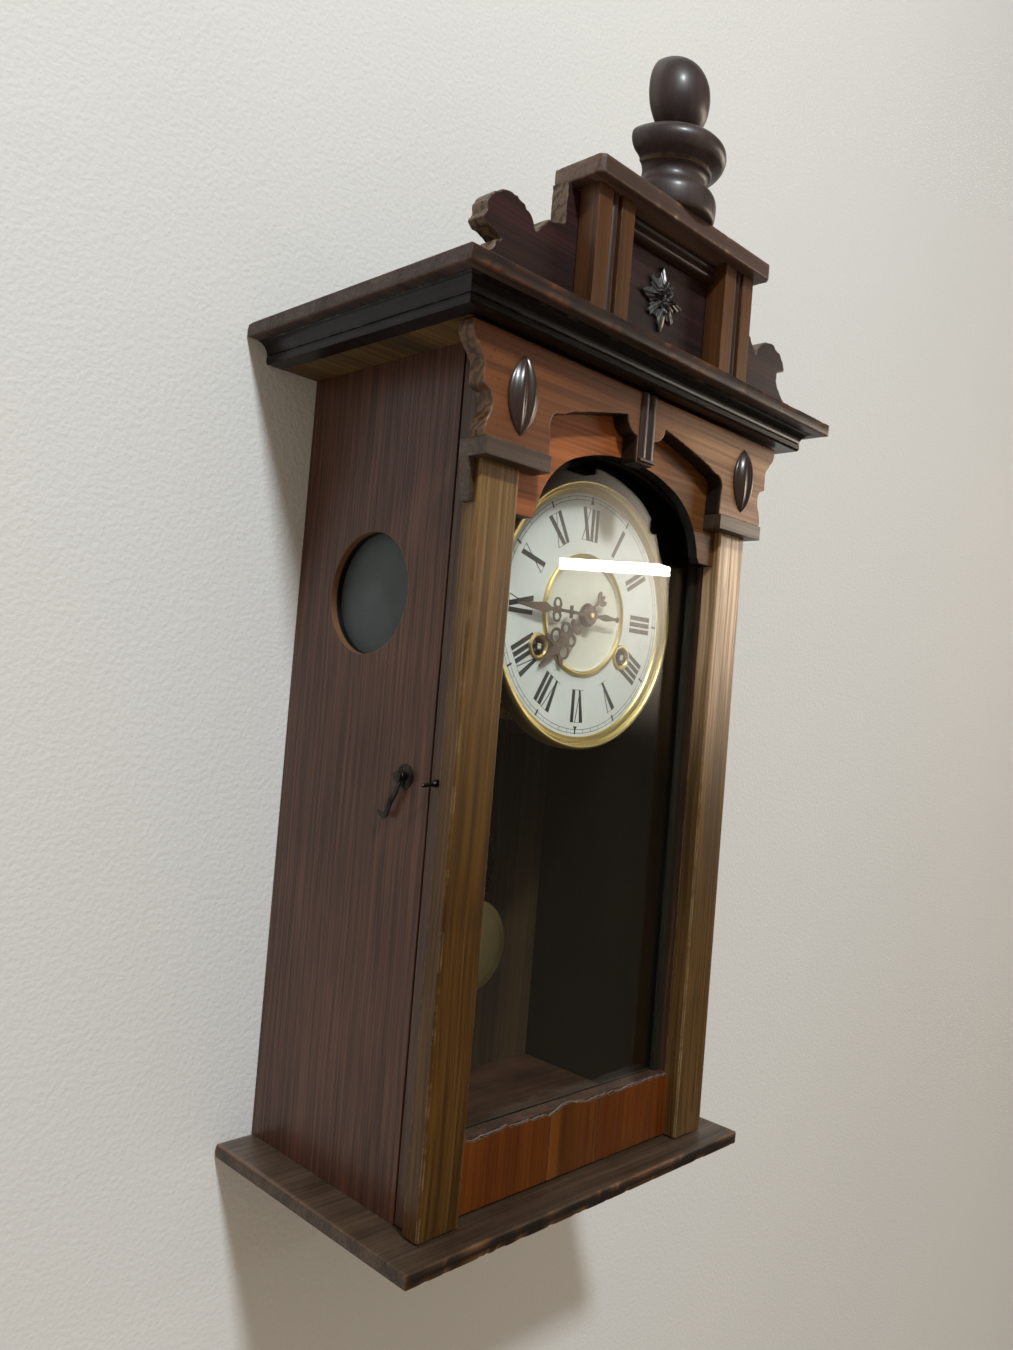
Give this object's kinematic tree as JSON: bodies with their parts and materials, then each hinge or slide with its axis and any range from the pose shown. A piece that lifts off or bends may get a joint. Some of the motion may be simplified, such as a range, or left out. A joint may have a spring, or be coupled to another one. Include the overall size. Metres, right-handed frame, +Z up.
{
  "type": "wall regulator clock",
  "caption": "Spring-driven wall regulator clock in a wooden case with an arched glazed door, scrolled pediment, turned finial, white dial, pendulum and gong.",
  "frame": {"origin": "centre of the hanging hole, on the plane of the wall", "axes": "+X to the viewer's right along the wall, +Y into the wall, +Z up"},
  "size_m": [0.3544, 0.2078, 0.6939],
  "materials": {
    "side_wood": "satin stained wood with an upright grain",
    "case_wood": "satin stained wood",
    "cornice_wood": "dark purple-brown stained wood, worn at the edges",
    "soffit_wood": "plain sawn wood",
    "dark_gloss_wood": "very dark semi-gloss turned and moulded wood",
    "pilaster_wood": "golden olive-brown varnished wood with a straight grain",
    "frieze_wood": "mid brown wood, paler and speckled at the right",
    "capital_wood": "dark grey-brown wood",
    "rail_wood": "bare pale wood",
    "facing_wood": "orange-red varnished veneer",
    "black_paint": "black painted wood",
    "window_glass": "clear plain glass",
    "gauze": "fine grey-green woven gauze",
    "cast_metal": "black cast metal with bright edges",
    "dark_iron": "dark worn iron",
    "hinge_brass": "dull brass",
    "bright_brass": "polished brass with light spots",
    "dial_enamel": "smooth white paint with printed black numerals",
    "hand_bronze": "dark bronzed metal",
    "clock_brass": "plain movement brass",
    "steel": "plain steel",
    "gong_steel": "blued steel"
  },
  "bodies": {
    "case": {"back_board": "case_wood", "side_panel_left": "side_wood", "side_panel_right": "side_wood", "floor_board": "case_wood", "base_board": "case_wood", "case_soffit": "soffit_wood", "cornice_moulding": "dark_gloss_wood", "cornice_board": "cornice_wood", "pediment_board": "cornice_wood", "pediment_blocks": "pilaster_wood", "pediment_beads": "dark_gloss_wood", "pediment_rail": "dark_gloss_wood", "pediment_rosette": "cast_metal", "pediment_cap": "cornice_wood", "finial": "dark_gloss_wood", "sound_gauzes": "gauze", "hanger_plate": "dark_iron", "case_screws": "steel", "movement_cleats": "case_wood", "gong_stand": "cast_metal", "gong_coil": "gong_steel", "hook_rosette": "dark_iron", "case_hinges": "hinge_brass", "dial_pan": "dial_enamel", "dial_bezel": "bright_brass", "dial_rings": "bright_brass", "front_plate": "clock_brass", "back_plate": "clock_brass", "plate_pillars": "clock_brass"},
    "door": {"door_stile_left": "case_wood", "door_stile_right": "case_wood", "door_arch_rail": "case_wood", "door_bottom_rail": "rail_wood", "rail_facings": "facing_wood", "door_glass": "window_glass", "glass_beads": "black_paint", "pilaster_left": "pilaster_wood", "pilaster_right": "pilaster_wood", "capitals": "capital_wood", "frieze_board": "frieze_wood", "frieze_bosses": "dark_gloss_wood", "frieze_pendant": "dark_gloss_wood", "door_hinge_leaves": "hinge_brass", "hook_eye": "dark_iron"},
    "latch_hook": {"side_hook": "dark_iron"},
    "centre": {"centre_wheel": "clock_brass", "minute_hand": "hand_bronze"},
    "hour": {"hour_wheel": "clock_brass", "hour_hand": "hand_bronze"},
    "minute_work": {"minute_wheel": "clock_brass"},
    "going_barrel": {"time_barrel": "clock_brass"},
    "going_arbor": {"time_arbor": "steel"},
    "gong_barrel": {"strike_barrel": "clock_brass"},
    "gong_arbor": {"strike_arbor": "steel"},
    "third": {"third_wheel": "clock_brass"},
    "escape": {"escape_wheel": "clock_brass"},
    "anchor": {"verge": "steel"},
    "pendulum": {"pendulum_rod": "clock_brass", "pendulum_bob": "bright_brass"},
    "gong_hammer": {"hammer": "steel"}
  },
  "joints": [
    {"name": "door_hinge", "type": "hinge", "parent": "case", "child": "door", "pos_m": [0.12695, -0.141, -0.212], "axis": [0, 0, 1], "range_deg": [0, 110]},
    {"name": "hook_pivot", "type": "hinge", "parent": "case", "child": "latch_hook", "pos_m": [-0.12815, -0.1195, -0.2137], "axis": [1, 0, 0], "range_deg": [-75, 60], "stiffness_Nm_per_rad": 0.002},
    {"name": "centre_spin", "type": "hinge", "parent": "case", "child": "centre", "pos_m": [0, 0, -0.109], "axis": [0, 1, 0], "continuous": true},
    {"name": "hour_spin", "type": "hinge", "parent": "case", "child": "hour", "pos_m": [0, 0, -0.109], "axis": [0, 1, 0], "continuous": true},
    {"name": "minute_work_spin", "type": "hinge", "parent": "case", "child": "minute_work", "pos_m": [0.01018, 0, -0.09882], "axis": [0, 1, 0], "continuous": true},
    {"name": "going_barrel_spin", "type": "hinge", "parent": "case", "child": "going_barrel", "pos_m": [0.04, 0, -0.1325], "axis": [0, 1, 0], "continuous": true},
    {"name": "going_winding", "type": "hinge", "parent": "case", "child": "going_arbor", "pos_m": [0.04, 0, -0.1325], "axis": [0, 1, 0], "continuous": true},
    {"name": "gong_barrel_spin", "type": "hinge", "parent": "case", "child": "gong_barrel", "pos_m": [-0.04, 0, -0.1325], "axis": [0, 1, 0], "continuous": true},
    {"name": "gong_winding", "type": "hinge", "parent": "case", "child": "gong_arbor", "pos_m": [-0.04, 0, -0.1325], "axis": [0, 1, 0], "continuous": true},
    {"name": "third_spin", "type": "hinge", "parent": "case", "child": "third", "pos_m": [-0.01887, 0, -0.08832], "axis": [0, 1, 0], "continuous": true},
    {"name": "escape_spin", "type": "hinge", "parent": "case", "child": "escape", "pos_m": [0, 0, -0.075], "axis": [0, 1, 0], "continuous": true},
    {"name": "anchor_swing", "type": "hinge", "parent": "case", "child": "anchor", "pos_m": [0, 0, -0.053], "axis": [0, 1, 0], "range_deg": [-4, 4]},
    {"name": "pendulum_swing", "type": "hinge", "parent": "case", "child": "pendulum", "pos_m": [0, 0, -0.053], "axis": [0, 1, 0], "range_deg": [-4, 4]},
    {"name": "hammer_swing", "type": "hinge", "parent": "case", "child": "gong_hammer", "pos_m": [-0.004, 0, -0.159], "axis": [0, 1, 0], "range_deg": [0, 18], "stiffness_Nm_per_rad": 0.02, "springref_deg": -8.59}
  ],
  "couplings": [
    {"joint": "hour_spin", "follows": "centre_spin", "ratio": 0.083333},
    {"joint": "minute_work_spin", "follows": "centre_spin", "ratio": -0.33333},
    {"joint": "going_barrel_spin", "follows": "centre_spin", "ratio": -0.25},
    {"joint": "third_spin", "follows": "centre_spin", "ratio": -9},
    {"joint": "escape_spin", "follows": "centre_spin", "ratio": 85.5},
    {"joint": "anchor_swing", "follows": "pendulum_swing", "ratio": 1}
  ]
}
